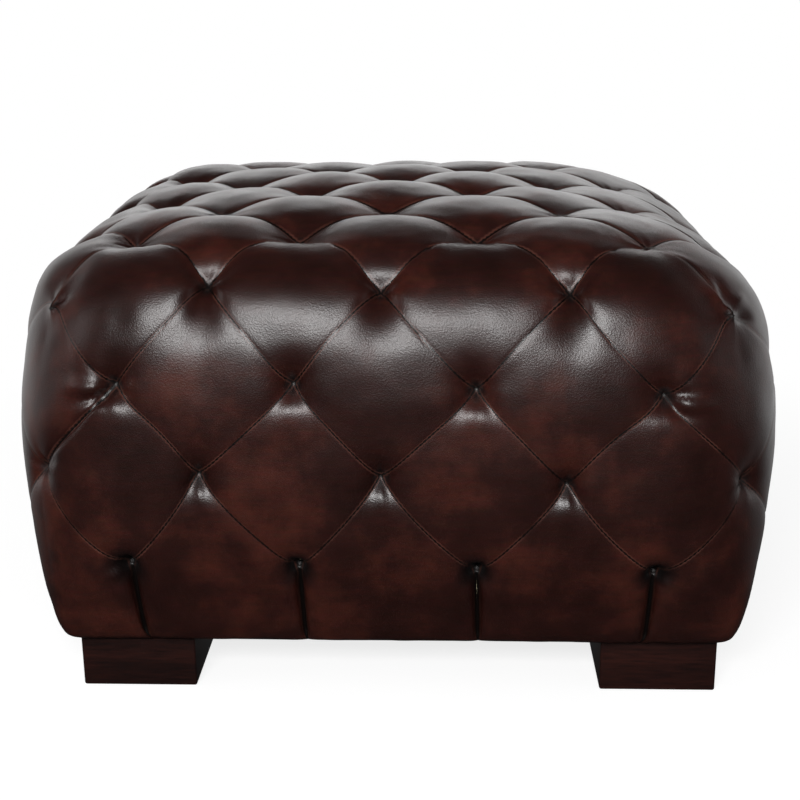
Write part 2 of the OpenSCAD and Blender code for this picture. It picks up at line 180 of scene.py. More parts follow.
# Screws, bolts, tee nuts and washers
# Zinc-plated steel: countersunk wood screws, M8 hanger bolts in tee nuts, and a washer behind each tuft.
# The plating gives a bluish grey metal with a fine cloudy bloom 6 mm across.
zinc, shader = new_material("zinc-plated steel", roughness=0.34, Metallic=1.0)
place = add_node(zinc, "ShaderNodeTexCoord").outputs["Object"]
bloom = add_node(
    zinc, "ShaderNodeTexNoise", {"Vector": place, "Scale": 1 / 0.006, "Detail": 4.0}
).outputs["Fac"]
add_node(
    zinc, "ShaderNodeValToRGB", {"Fac": bloom}, to=shader.inputs["Base Color"],
    stops=[(0.35, "#a9afb6"), (0.65, "#c9c9c2")],
)
add_node(
    zinc, "ShaderNodeMapRange", {"Value": bloom, "To Min": 0.26, "To Max": 0.44},
    to=shader.inputs["Roughness"],
)
dress(["hanger_bolts", "tee_nuts", "deck_screws", "panel_screws"], zinc)
dress(["top_tuft_washers", "edge_tuft_washers", "side_tuft_washers"], zinc)

# Block feet
# Solid hardwood blocks, 110 mm square and 50 mm high, with eased edges, screwed up on the hanger bolts.
# The stain is nearly black-brown, and the grain just shows under a satin lacquer.
EASED, EASED_UNDER = 0.0022, 0.0025  # m in from the upright edges, and from those on the floor
EDGE_STEPS = 4
HAIR = 1e-5  # m: what is closer than this lies in one place

wood, shader = new_material(
    "stained hardwood, satin lacquer", roughness=0.36, Coat_Weight=0.25, Coat_Roughness=0.2
)
place = add_node(wood, "ShaderNodeTexCoord").outputs["Object"]
stretch = add_node(wood, "ShaderNodeMapping", {"Vector": place, "Scale": (0.09, 1.0, 1.0)}).outputs[0]
pores = add_node(
    wood, "ShaderNodeTexNoise", {"Vector": stretch, "Scale": 1 / 0.0022, "Detail": 4.0}
).outputs["Fac"]
bands = add_node(
    wood, "ShaderNodeTexNoise", {"Vector": stretch, "Scale": 1 / 0.014, "Detail": 2.0}
).outputs["Fac"]
both = add_node(wood, "ShaderNodeMath", {0: pores, 1: bands}, operation="MULTIPLY").outputs[0]
add_node(
    wood, "ShaderNodeValToRGB", {"Fac": both}, to=shader.inputs["Base Color"],
    stops=[(0.12, "#150807"), (0.42, "#2e130e")],
)
add_node(
    wood, "ShaderNodeBump", {"Height": pores, "Strength": 0.2, "Distance": 0.0003},
    to=shader.inputs["Normal"],
)


def make_piece(name, bm, material):
    """Turns a bmesh into a piece of the scene, made of one material."""
    mesh = bpy.data.meshes.new(name)
    bm.to_mesh(mesh)
    bm.free()
    mesh.materials.append(material)
    piece = bpy.data.objects.new(name, mesh)
    scene.collection.objects.link(piece)
    return piece


def ease(bm, edges, offset, steps):
    """Rounds edges off."""
    bmesh.ops.bevel(
        bm, geom=edges, offset=offset, segments=steps, profile=0.5, affect="EDGES", material=-1
    )


for corner in corners:
    low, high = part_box("foot_" + corner)
    bm = bmesh.new()
    bmesh.ops.create_cube(bm, size=1.0)
    bmesh.ops.scale(bm, vec=high - low, verts=bm.verts)
    bmesh.ops.translate(bm, vec=(low + high) / 2, verts=bm.verts)
    upright = [e for e in bm.edges if abs(e.verts[0].co.z - e.verts[1].co.z) > HAIR]
    ease(bm, upright, EASED, EDGE_STEPS)
    under = [e for e in bm.edges if all(v.co.z < low.z + HAIR for v in e.verts)]
    ease(bm, under, EASED_UNDER, EDGE_STEPS)
    foot = make_piece("block_foot_" + corner, bm, wood)
    foot.data.shade_smooth()
    foot.data.set_sharp_from_angle(angle=math.radians(40))
    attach(foot, "root")
    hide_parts("foot_" + corner)

# Foam
# Polyurethane foam slabs glued to the deck and to each side panel, drilled for every tuft.
# Cut foam is matt cream with open cells, drawn here 2 mm wide so that they show.
SUNK, PROUD = 16.0, 8.0  # mm that the right-hand edge of the top has sunk, and that the left stands up
SUNK_FROM_TO = 100.0, 330.0  # mm to the right: where it starts to be sunk, and where it is so wholly
PROUD_FROM_TO = -170.0, -280.0  # mm: the same to the left for what stands up
PROUD_BACK = -150.0, 100.0  # mm: the same from front to back
SETTLED_FROM_TO = 232.0, 402.0  # mm up: the same for all the settling
DRAWN_DOWN = 0.004  # m that the leather draws the foam down at the top, besides
DRAWN_FROM_TO = 0.358, 0.388  # m up: where that starts, and where it is whole

foam, shader = new_material("cut polyurethane foam", roughness=0.95)
place = add_node(foam, "ShaderNodeTexCoord").outputs["Object"]
cells = add_node(foam, "ShaderNodeTexVoronoi", {"Vector": place, "Scale": 1 / 0.002}).outputs["Distance"]
add_node(
    foam, "ShaderNodeValToRGB", {"Fac": cells}, to=shader.inputs["Base Color"],
    stops=[(0.0, "#b9a873"), (0.5, "#ece0b8")],
)
add_node(
    foam, "ShaderNodeBump", {"Height": cells, "Strength": 0.6, "Distance": 0.001},
    to=shader.inputs["Normal"],
)


def ramp(x, start, end):
    """Goes from 0 at the start to 1 at the end, up or down the values of x."""
    return np.clip((x - start) / (end - start), 0, 1)


def sag(place, share=1.0):
    """How far, in mm, the cover has settled at a place in mm. The tufts are tied, so their share is 0."""
    x, y, z = place[..., 0], place[..., 1], place[..., 2]
    high = ramp(z, *SETTLED_FROM_TO)
    left_back = ramp(x, *PROUD_FROM_TO) * ramp(y, *PROUD_BACK)
    return (SUNK * (ramp(x, *SUNK_FROM_TO) * high) ** 1.5 - PROUD * left_back * high) * share


for name in ("top_foam", "front_foam", "right_foam", "back_foam", "left_foam"):
    bm = bmesh.new()
    bm.from_mesh(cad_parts[name].data)
    bmesh.ops.remove_doubles(bm, verts=bm.verts, dist=HAIR)
    bmesh.ops.recalc_face_normals(bm, faces=bm.faces)
    for vert in bm.verts:
        if vert.co.z > DRAWN_FROM_TO[0]:
            sunk = max(sag(np.array(vert.co) * 1000), 0) / 1000
            vert.co.z -= sunk + DRAWN_DOWN * ramp(vert.co.z, *DRAWN_FROM_TO)
    slab = make_piece("settled_" + name, bm, foam)
    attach(slab, "root")
    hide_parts(name)

# Tufting twine
# Waxed polyester tufting twine, 2.4 mm, knotted behind a washer at each tuft.
# The wax leaves it off-white with a slight shine, and its strands twist round each other.
TWIST = 0.005922  # m along the twine from one strand to the next, drawn coarser than real so that it shows

twine, shader = new_material("waxed twine", roughness=0.5)
place = add_node(twine, "ShaderNodeTexCoord").outputs["Object"]
strands = add_node(
    twine, "ShaderNodeTexWave", {"Vector": place, "Scale": 2 * WAVE / TWIST, "Distortion": 0.8},
    bands_direction="DIAGONAL",
).outputs["Fac"]
add_node(
    twine, "ShaderNodeValToRGB", {"Fac": strands}, to=shader.inputs["Base Color"],
    stops=[(0.1, "#bdb59c"), (0.8, "#eeeadd")],
)
add_node(
    twine, "ShaderNodeBump", {"Height": strands, "Strength": 0.5, "Distance": 0.0006},
    to=shader.inputs["Normal"],
)
dress(["edge_tuft_twines"], twine)

# Tufted leather cover
# Bonded leather over wadding. Cut diamonds are joined by sewn seams, each crossing is drawn down to
# the deck or a panel with twine, and the pleats under the lowest tufts run to a hem under the box.

PITCH = 160.0  # mm from tuft to tuft along a row
HALF_STEP = PITCH / 2
SIDE = PITCH / 2**0.5  # side of one diamond
REACH = 4  # half diamonds from the middle of the top to its edge
ALONG = 2 * REACH  # half diamonds along one side
ROUND = 4 * ALONG  # half diamonds round all four sides
FINE = 28  # steps across a diamond
PANEL_STEPS = 1.6  # times as many down a lower panel
SEAM_SHARE = 0.95  # height of a seam beside the crowns, away from the tufts
TOP_SEAM_DIP, DIP_END = 0.22, 1.5  # how much lower the top's seams lie, and how far from its edge that ends
SEAM_FADE = 12.0  # mm from a seam to where the leather is free of it
DOME = 0.7  # how round the crowns are: lower is flatter
# The pit round a tuft: its width in mm and how steeply it ends, along a seam, and then between two seams.
AT_SEAM, AT_SEAM_BEHIND = np.array((12.0, 1.1)), np.array((30.0, 1.8))
BESIDE, ABOVE = np.array((9.0, 1.1)), np.array((13.0, 1.1))
BELOW_ROW = {1: np.array((18.0, 1.1)), 2: np.array((7.5, 1.3)), 3: np.array((9.5, 1.3))}
# The same as one seam, between, and the other seam: for a tuft of the top, for one of the top edge as seen
# from the top, and for one of the lowest row.
OF_TOP = np.array(((34.0, 1.4), (27.0, 1.4), (34.0, 1.4)))
OF_EDGE = np.array(((30.0, 1.8), (24.0, 1.8), (30.0, 1.8)))
OF_LOWEST = np.array(((8.5, 1.2), (8.5, 1.2), (8.5, 1.2)))
PLEAT = 4.0, 0.75  # a pleat's width in mm and how steeply it ends
# Grooves along the seams and in the pleats: how deep and how wide, in mm. They end near the tufts.
SEAM_GROOVE = {"top": (1.6, 1.6), "side": (0.4, 1.6), "panel": (0.6, 1.4)}
PLEAT_GROOVE = 3.0, 2.0
GROOVE_END = 9.0  # mm from a tuft
# Where a pleat or a crease is shut, the finish paints shade there as a dark line: half its width in mm, and
# the share of the way to its middle that the finish is told. Further off, it is told that no seam is near.
PLEAT_SHADE, SHUT_SHADE = (2.2, 0.32), (2.6, 0.6)
NO_SEAM = 9.0  # mm
# a tuft of the lowest row gets a wider patch of painted pit shade through this share
LOW_SHARE = 0.45  # the finish counts this share of the way to a tuft of the lowest row, as its pit is wide
LOW_PULL, LOW_WIDTH = 3.0, 6.0  # mm that these tufts are pulled in besides, and how wide that pit is
UNEVEN = (46.0, 1.1), (19.0, 0.35)  # mm: how wide and how high the leather's unevenness is
HEM_HEIGHT = 54.0  # mm up: the hem below this is even
TOUCH = 0.02  # mm: vertices of two patches that are closer than this are sewn into one

# Distance q down the cover from the middle of the top, in half diamonds: 4 is the top edge and 8.5 the
# fold at the bottom. Then come the distance out and the height, in mm, and the distance out at a corner,
# first of the crowns and then of the tufts.
crown_line = np.array([
    (0, 0, 456, 0), (1, 80, 453.5, 80), (2, 160, 446.5, 160), (3, 240, 436, 238), (3.5, 284, 423, 268),
    (4, 328.5, 397.5, 293), (4.5, 348.5, 354, 307), (5, 356, 309, 315), (5.5, 357.5, 269, 320),
    (6, 357, 228, 321), (6.5, 353, 184, 321), (7, 345, 139.6, 321), (7.5, 332, 97, 321), (8, 321, 65, 316),
    (8.35, 313, 55, 309), (8.5, 306, 51.8, 301), (8.62, 300, 51.1, 297), (9, 255, 51.1, 255),
])
tuft_line = np.array([
    (0, 0, 439, 0), (1, 80, 437.5, 80), (2, 160, 433, 160), (3, 240, 420, 240), (3.5, 277, 407, 275),
    (4, 302, 389, 302), (4.5, 320, 349, 306), (5, 331, 309, 309), (5.5, 336, 269, 311), (6, 337, 228.4, 312),
    (6.5, 331, 184, 311), (7, 320, 139.6, 308), (7.5, 316, 97, 307), (8, 312, 65, 305),
    (8.35, 308.5, 55, 303), (8.5, 305, 51.8, 301), (8.62, 300, 51.1, 297), (9, 255, 51.1, 255),
])
CORNER_DROP = 18.0  # mm that the four top corners hang lower
DROP_REACH = 1.5  # half diamonds above and below the corner where that ends
PINCH = 0.13  # half diamonds that the crowns next to a corner are drawn to the middle of their side


def hump(x):
    return 4 * x * (1 - x)


def smooth(x, line, column):
    """A smooth curve through one column of a line's values."""
    places, values = line[:, 0], line[:, column]
    slopes = np.gradient(values, places)
    k = np.clip(np.searchsorted(places, x) - 1, 0, len(places) - 2)
    w = places[k + 1] - places[k]
    t = (x - places[k]) / w
    return (
        (1 + 2 * t) * (1 - t) ** 2 * values[k] + t * (1 - t) ** 2 * w * slopes[k]
        + t * t * (3 - 2 * t) * values[k + 1] + t * t * (t - 1) * w * slopes[k + 1]
    )


def on_line(side, m, q, line, pinch=0.0):
    """Places on the rounded square that a crown or tuft line draws at distance q, m along a side. A pinch
    draws the places near a corner, in half diamonds, towards the middle of the side."""
    half = REACH / 2  # the places are even up to here, and then closer towards the corner
    face, height, corner = smooth(q, line, 1), smooth(q, line, 2), smooth(q, line, 3)
    step = HALF_STEP * np.minimum(q, REACH) / REACH
    radius = np.maximum(face - corner, 0) / (1 - 0.5**0.5)
    start = REACH - radius * math.pi / 4 / np.maximum(step, 1e-6)
    end = face - radius
    away = np.abs(m) - pinch * hump(ramp(np.abs(m), half, REACH)) * ramp(q, REACH, REACH + 1)
    turn = np.clip((away - start) / np.maximum(REACH - start, 1e-6), 0, 1) * math.pi / 4
    straight = half * step + ramp(away, half, start) * (end - half * step)
    along = np.where(away <= half, away * step, straight + radius * np.sin(turn)) * np.sign(m)
    out = face - radius * (1 - np.cos(turn))
    near_corner = ramp(away, half, REACH) ** 3 * ramp(np.abs(q - REACH), DROP_REACH, 0) ** 1.5
    angle = side * math.pi / 2
    x = along * np.cos(angle) + out * np.sin(angle)
    y = along * np.sin(angle) - out * np.cos(angle)
    return np.stack([x, y, height - CORNER_DROP * near_corner], axis=-1)


def around(p):
    """The side and the place along it of a place p round the four sides."""
    side = np.floor((p + REACH) / ALONG)
    return side, p - ALONG * side


def on_top(i, j):
    """The side, the place along it and the distance q of a lattice place on the top."""
    q = np.maximum(np.abs(i), np.abs(j))
    front = (j <= 0) & (np.abs(i) <= -j)
    back = (j > 0) & (np.abs(i) <= j)
    right = ~front & ~back & (i > 0)
    side = np.where(front, 0, np.where(right, 1, np.where(back, 2, 3)))
    m = np.where(front, i, np.where(right, j, np.where(back, -i, -j))) * REACH / np.maximum(q, 1e-9)
    return side, m, q


def smoothstep(x):
    x = np.clip(x, 0, 1)
    return x * x * (3 - 2 * x)


def spaced(t):
    """Grid lines across a diamond, closer together beside the seams."""
    return 0.45 * t + 0.55 * (0.5 - 0.5 * np.cos(math.pi * t))


def tuft_key(p, v):
    """One name for a tuft, whichever diamond asks. v counts down from the top edge."""
    if v < 0:
        side = int((p + REACH) // ALONG)
        i, j = p - ALONG * side, -(REACH + v)
        for _ in range(side % 4):
            i, j = -j, i
        return ("top", i, j)
    return ("side", p % ROUND, v)


def top_key(i, j):
    if max(abs(i), abs(j)) < REACH:
        return ("top", i, j)
    side, m, _ = on_top(np.array(float(i)), np.array(float(j)))
    return ("side", int(ALONG * side + round(float(m))) % ROUND, 0)


# Each tuft is drawn down by hand, so it lies a few mm off the lattice: along and up on the front, along
# and back on the top. The other sides wander as far at random.
hand_drawn = {
    ("side", 28, 0): (-6.8, 3.0), ("side", 30, 0): (-4.1, 4.6), ("side", 0, 0): (-11.2, -0.8),
    ("side", 2, 0): (-4.4, -2.6), ("side", 4, 0): (-1.2, -3.1),
    ("side", 29, 1): (-8.1, 6.0), ("side", 31, 1): (-7.0, 6.1), ("side", 1, 1): (-7.0, 0.9),
    ("side", 3, 1): (0.8, -3.4),
    ("side", 28, 2): (-4.7, 0.6), ("side", 30, 2): (-14.2, 4.3), ("side", 0, 2): (-11.6, 1.8),
    ("side", 2, 2): (-5.8, -4.0), ("side", 4, 2): (-0.8, -9.0),
    ("side", 29, 3): (-9.5, 3.0), ("side", 31, 3): (-8.3, 1.2), ("side", 1, 3): (-4.9, -2.6),
    ("side", 3, 3): (2.1, -3.4),
    ("top", -3, -3): (-2.2, 0), ("top", -1, -3): (-9, 2), ("top", 1, -3): (-5.3, 1),
    ("top", 3, -3): (-8.5, -3),
    ("top", -2, -2): (-11, 0), ("top", 0, -2): (-9.8, 2), ("top", 2, -2): (-3.1, -2),
    ("top", -3, -1): (-6.8, 3), ("top", -1, -1): (-13, 2), ("top", 1, -1): (-6.4, 0),
    ("top", 3, -1): (-10, -3),
    ("top", -2, 0): (-10.9, 2), ("top", 0, 0): (-6.7, 0), ("top", 2, 0): (-3.8, -2),
    ("top", -3, 1): (-7.3, 2), ("top", -1, 1): (-7.6, 0), ("top", 1, 1): (-3.8, -1),
    ("top", 3, 1): (-6.5, -2),
    ("top", -2, 2): (-14, 0), ("top", 0, 2): (-7.6, -1), ("top", 2, 2): (1.2, -2),
}
WANDER = 4.0, 3.0  # mm to either side, and up or back
TOP_BOW, SIDE_BOW = 2.0, 1.2  # mm that the middle of a seam wanders, on the top and on the sides
SHALLOWER = 2.0  # mm that a tuft may be less deep than its line


def turned(side, move):
    """A move written for the front, in mm along, back and up, turned to another side."""
    return Matrix.Rotation(math.pi / 2 * side, 3, "Z") @ Vector(move)


def tuft_shift(key):
    """How far a tuft lies from its place on the lattice, in mm."""
    chance = random.Random("tuft " + str(key))
    shallower = chance.uniform(0, SHALLOWER)
    if key in hand_drawn:
        along, up = hand_drawn[key]
        return Vector((along, -shallower, up)) if key[0] == "side" else Vector((along, up, shallower))
    along, up = [chance.uniform(-most, most) for most in WANDER]
    if key[0] == "top":
        return Vector((along, up, shallower))
    return turned((key[1] + REACH) // ALONG, (along, -shallower, up))


# One entry for each patch: its kind, the middle of the diamond, and the names of its four tufts at
# (a, b) = (0, 0), (1, 0), (0, 1) and (1, 1). A lower panel has three tufts: top, right and left.
patches = []
for i in range(1 - REACH, REACH):
    for j in range(1 - REACH, REACH):
        if (i + j) % 2:
            tufts = [top_key(i, j - 1), top_key(i + 1, j), top_key(i - 1, j), top_key(i, j + 1)]
            patches.append(("top", i, j, tufts))
for p in range(1 - REACH, ROUND - REACH + 1):
    for v in range(3):
        if (p + v) % 2:
            tufts = [tuft_key(p, v - 1), tuft_key(p + 1, v), tuft_key(p - 1, v), tuft_key(p, v + 1)]
            patches.append(("side", p, v, tufts))
for p in range(2 - REACH, ROUND - REACH + 1, 2):
    patches.append(("panel", p, 3, [tuft_key(p, 2), tuft_key(p + 1, 3), tuft_key(p - 1, 3), None]))


def pit(r, turn, along_a, between, along_b):
    """Depth of the pit round a tuft, 1 at the tuft, with its form along one seam, between the two, and
    along the other. The turn from the one seam to the other is a right angle."""
    one, other = np.cos(turn)[:, None] ** 2, np.sin(turn)[:, None] ** 2
    middle = np.sin(2 * turn)[:, None] ** 2
    form = one * along_a + other * along_b + middle * (between - (along_a + along_b) / 2)
    return np.exp(-((r / form[:, 0]) ** form[:, 1]))


def puff(a, b, seam, forms, skew):
    """Height of the leather in a diamond: 0 at its tufts and 1 at the crown."""
    rise = 1.0
    for form, u, w in zip(forms, (a, 1 - a, a, 1 - a), (b, b, 1 - b, 1 - b)):
        rise = rise * (1 - pit(np.hypot(u, w) * SIDE, np.arctan2(w, u), *form))
    dome = (hump(a ** skew[0]) * hump(b ** skew[1])) ** DOME
    return rise * (seam + (1 - seam) * dome)


def from_middle(p, side=0):
    """How far a place p round the four sides lies from the middle of one side."""
    return (p - ALONG * side + ROUND // 2) % ROUND - ROUND // 2


def bow(first, second):
    """How far the middle of a seam lies off the straight line between its tufts, in mm."""
    chance = random.Random("bow %s" % sorted((first, second)))
    if first[0] == "top" and second[0] == "top":
        return Vector((chance.uniform(-TOP_BOW, TOP_BOW), chance.uniform(-TOP_BOW, TOP_BOW), 0))
    if "top" in (first[0], second[0]):
        # the seam rides over the shoulder before it drops to its tuft on the top edge
        (_, i, j), (_, p, _) = (first, second) if first[0] == "top" else (second, first)
        for side, (across, back) in enumerate(((i, -j), (j, i), (-i, j), (-j, -i))):
            way = from_middle(p, side) - across
            if back == 3 and abs(way) == 1:
                # the seams to the tufts at the two back corners of the top are nearly straight
                at_back_corner = j == 3 and abs(across + way) == REACH
                return turned(side, (0, 3, 0) if at_back_corner else (4 * way, 6, 4))
    (p, v), (end, _) = sorted((first[1:], second[1:]), key=lambda k: k[1])
    slant = 1 if (end - p) % ROUND == 1 else -1
    along, up = chance.uniform(-SIDE_BOW, SIDE_BOW), chance.uniform(-SIDE_BOW, SIDE_BOW)
    if (v, p, end) in ((0, 28, 29), (0, 4, 3)):
        # the two seams that leave the front's top corners hang to the outside
        along, up = along - 3 * slant, up - 3
    elif v == 0 and slant < 0:
        # the others from the top edge down to the left bow up and to the left
        along, up = along - 3.5, up + 3.5
    elif v == 1 and (p % ALONG, slant) in ((5, 1), (3, -1)):
        # from the row below, the outermost seams that run inwards bow up and inwards
        along, up = along + 4 * slant, up + 4
    if v == 2:
        # the lowest seams hang
        up -= 5.0
    return turned((p + slant / 2 + REACH) // ALONG, (along, 0, up))


def folds(x, y, key, kind):
    """Short folds that fan out from a tuft into one diamond. x and y are mm along its two seams."""
    chance = random.Random("folds %s %s" % (key, kind))
    r, turn = np.hypot(x, y), np.arctan2(y, x)
    push = np.zeros_like(r)
    for _ in range(chance.choice((2, 3, 3, 4))):
        at = math.radians(chance.uniform(16, 74))
        depth, length = chance.uniform(0.3, 1.1), chance.uniform(16, 42)
        width = chance.uniform(2.0, 3.4)
        across = r * np.sin(turn - at) / (width * (0.6 + r / length))
        fade = np.clip(r / 4, 0, 1) * np.clip(1.3 * (1 - r / length), 0, 1) ** 1.5
        # each is a valley with a low ridge at either side
        push -= depth * fade * np.exp(-across**2) * (1 - 0.9 * across**2)
    return push


# The seam from the leftmost tuft below the top edge to the corner is drawn shut into a crease.
drawn_shut = {("side", 29, 1), ("side", 28, 2)}
SHUT_DEPTH, SHUT_WIDTH = 5.0, 2.4  # mm

# Folds in the front that the hand left there: a tuft, the fold's two ends from it (across and up, mm), its
# width and its height, which is negative for a crease.
front_folds = [
    (("side", 29, 1), (-6, 0), (-62, -3), 5.5, 3.2), (("side", 29, 1), (-2, -5), (-46, -17), 3.8, -5.0),
    (("side", 29, 1), (-6, -13), (-38, -33), 4.0, 2.6),
    (("side", 29, 1), (-4, 5), (-30, 24), 3.0, -1.0), (("side", 29, 1), (8, 92), (6, 34), 9.0, -1.2),
    (("side", 3, 1), (6, -4), (54, -9), 4.6, 2.8), (("side", 3, 1), (4, 4), (40, 3), 3.6, -2.6),
    (("side", 3, 1), (4, -12), (40, -20), 3.4, -1.6), (("side", 3, 1), (4, 62), (22, 38), 5.0, -1.0),
    (("side", 31, 1), (0, -5), (2, -30), 3.0, -1.6), (("side", 1, 1), (0, -5), (-1, -28), 3.0, -1.4),
    (("side", 3, 1), (0, -5), (-3, -28), 3.0, -1.4), (("side", 29, 3), (-5, -4), (-28, -20), 3.4, 3.0),
    (("side", 29, 3), (-3, 2), (-22, -7), 2.6, -2.0), (("side", 31, 3), (-4, -4), (-6, -28), 2.4, 1.6),
    (("side", 1, 3), (4, -4), (5, -28), 2.4, 1.6), (("side", 3, 3), (5, -3), (18, -20), 2.4, 1.8),
    (("side", 28, 0), (3, 4), (22, 14), 2.8, -2.0), (("side", 4, 0), (-3, 3), (-12, 30), 3.0, -3.0),
    (("side", 4, 0), (2, -2), (26, -10), 3.2, -3.4), (("side", 4, 0), (1, 6), (20, 8), 3.2, 2.6),
    (("side", 28, 2), (3, 5), (16, 20), 2.8, -2.0),
]
FRONT = -250.0  # mm: only places before this are on the front


def hand_folds(place):
    """The push of the front's folds on the places of a patch."""
    push = np.zeros(len(place))
    for key, start, end, width, height in front_folds:
        m, q = float(from_middle(key[1])), float(key[2] + REACH)
        home = on_line(0.0, m, q, tuft_line) + np.array(tuft_shift(key))
        start, end = np.array(start), np.array(end)
        run = end - start
        length = np.hypot(*run)
        x, z = place[:, 0] - home[0] - start[0], place[:, 2] - home[2] - start[1]
        t = (x * run[0] + z * run[1]) / length**2
        off = (x * run[1] - z * run[0]) / length
        fade = smoothstep(t / 0.25) * smoothstep((1 - t) / 0.6)
        push += height * fade * np.exp(-((off / width) ** 2)) * (place[:, 1] < FRONT)
    return push


def groove(off, depth, width, to_tuft):
    """The push of a groove, off mm beside its middle. A fifth of it is left at the tufts."""
    return -depth * np.exp(-off / width) * np.clip(to_tuft / GROOVE_END, 0.2, 1)


def dark_line(off, half_width, share):
    """The distance to a seam that the finish is told beside a shut pleat or crease, so that it paints shade
    there as a dark line.
    """
    return np.where(off < half_width, off * share, NO_SEAM)


def lower_panel(p, keys, shifts, s, t):
    """A panel between two pleats: its places, how far they are puffed out and moved, and what the finish
    needs. Rows v are half diamonds below the top edge, and the panel's three tufts are in rows 2 and 3."""
    fold, hem_edge = 4.45, 5.0  # the rows where the turn to the underside starts, and where the leather ends
    at_fold = 0.9  # the share of the grid above the fold
    x = 2 * s - 1  # across the panel, from one pleat to the other
    x = np.sign(x) * spaced(np.abs(x))
    seam = 2 + np.abs(x)
    down, whole = (0.35 * k + 0.65 * k**1.3 for k in (t, at_fold))  # closer steps at the top
    past_fold = fold + (hem_edge - fold) * (t - at_fold) / (1 - at_fold)
    v = np.where(t < at_fold, seam + (fold - seam) * (down / whole), past_fold)
    off_seam, to_pleat = (v - seam) * HALF_STEP, (1 - np.abs(x)) * HALF_STEP
    to_top, to_low = HALF_STEP * np.hypot(x, v - 2), HALF_STEP * np.hypot(1 - np.abs(x), v - 3)
    h = 1 - pit(to_low, 0 * x, *OF_LOWEST)
    h = h * (1 - pit(to_top, np.arctan2(v - 2 - x, v - 2 + x), AT_SEAM, BELOW_ROW[3], AT_SEAM))
    below_low = smoothstep((v - 3) / 0.15)  # the pleats start at the low tufts
    h = h * (1 - np.exp(-((to_pleat / PLEAT[0]) ** PLEAT[1])) * below_low)
    h = h * (1 - (1 - SEAM_SHARE) * np.exp(-off_seam / SEAM_FADE))
    # the moves of the tufts fade out down the panel, those to the side more slowly
    share, slow = (ramp(v - seam, reach, 0) for reach in (1.5, 3.0))
    shift = np.outer(share * (1 - np.abs(x)), shifts[0])
    for way, key, moved in ((1, keys[1], shifts[1]), (-1, keys[2], shifts[2])):
        part = np.clip(way * x, 0, 1)
        shift += np.outer(slow * part, (moved.x, moved.y, 0)) + np.outer(share * part, (0, 0, moved.z))
        shift += np.outer(share**1.5 * hump(part), bow(keys[0], key))
    to_seam = 0.72 * off_seam  # square to the seam
    # beside a shut pleat, the finish paints shade as a dark line
    near = np.minimum(to_seam, dark_line(to_pleat, *PLEAT_SHADE))
    to_tuft = np.minimum(to_top, LOW_SHARE * to_low)
    push = groove(to_seam, *SEAM_GROOVE["panel"], to_tuft)
    push += groove(to_pleat, *PLEAT_GROOVE, to_tuft) * ramp(v, 4.3, 4.0)  # it ends above the fold
    push -= LOW_PULL * np.exp(-((to_low / LOW_WIDTH) ** 2))
    where = (*around(p + x), v + REACH)
    return where, h, shift, {"seam_mm": near, "tuft_mm": to_tuft, "along_mm": np.abs(x) * SIDE, "push": push}


def diamond(kind, middle, keys, shifts, a, b, skew, swell, fold_name):
    """One cut diamond of the top or the sides, with a and b from 0 to 1 along its two pairs of seams: its
    places, how far they are puffed out and moved, and what the finish needs."""
    row = middle[1]
    i, j = middle[0] + a - b, row + a + b - 1
    if kind == "top":
        side, m, q = on_top(i, j)
        forms = [OF_TOP if key[0] == "top" else OF_EDGE for key in keys]
    else:
        side, m = around(i)
        q = j + REACH
        m = np.where(j < 0, m * REACH / np.maximum(q, 1e-9), m)
        up = AT_SEAM_BEHIND if row == 0 else AT_SEAM
        first = OF_TOP if row == 0 else (AT_SEAM, BELOW_ROW[row], AT_SEAM)
        last = OF_LOWEST if row == 2 else (AT_SEAM, ABOVE, AT_SEAM)
        forms = [first, (up, BESIDE, AT_SEAM), (AT_SEAM, BESIDE, up), last]
    seam = SEAM_SHARE - TOP_SEAM_DIP * smoothstep((REACH - q) / DIP_END)
    h = puff(a, b, seam, forms, skew) + swell * hump(a) * hump(b)
    weights = [(1 - a) * (1 - b), a * (1 - b), (1 - a) * b, a * b]
    shift = sum(np.outer(weight, moved) for weight, moved in zip(weights, shifts))
    off_a, off_b = np.minimum(a, 1 - a), np.minimum(b, 1 - b)
    # the wider dark line of the top is painted shade for the gaps between its pillows; its grooves are wider
    # too
    near = np.minimum(off_a, off_b) * SIDE * (0.5 if kind == "top" else 1)  # the top's lines are wider
    crease = 0.0
    for first, second, run, off in ((0, 1, a, b), (0, 2, b, a), (1, 3, b, 1 - a), (2, 3, a, 1 - b)):
        shift += np.outer(hump(run) * (1 - off) ** 3, bow(keys[first], keys[second]))
        if {keys[first], keys[second]} == drawn_shut:
            shut = off * SIDE
            crease = SHUT_DEPTH * np.exp(-shut / SHUT_WIDTH) * np.clip(hump(run) * 2, 0, 1)
            # along the shut crease, the finish paints shade as a dark line
            near = np.minimum(near + NO_SEAM * (near == shut), dark_line(shut, *SHUT_SHADE))
    to_tuft = np.hypot(off_a, off_b) * SIDE
    push = -crease
    if kind == "side" and row == 2:
        to_low = np.hypot(1 - a, 1 - b) * SIDE
        to_tuft = np.minimum(to_tuft, LOW_SHARE * to_low)
        push = push - LOW_PULL * np.exp(-((to_low / LOW_WIDTH) ** 2))
    push = push + groove(near, *SEAM_GROOVE[kind], to_tuft)
    for key, (u, w) in zip(keys, ((a, b), (1 - a, b), (a, 1 - b), (1 - a, 1 - b))):
        push = push + folds(u * SIDE, w * SIDE, key, fold_name)
    along = np.where(off_a < off_b, b, a) * SIDE
    return (side, m, q), h, shift, {"seam_mm": near, "tuft_mm": to_tuft, "along_mm": along, "push": push}


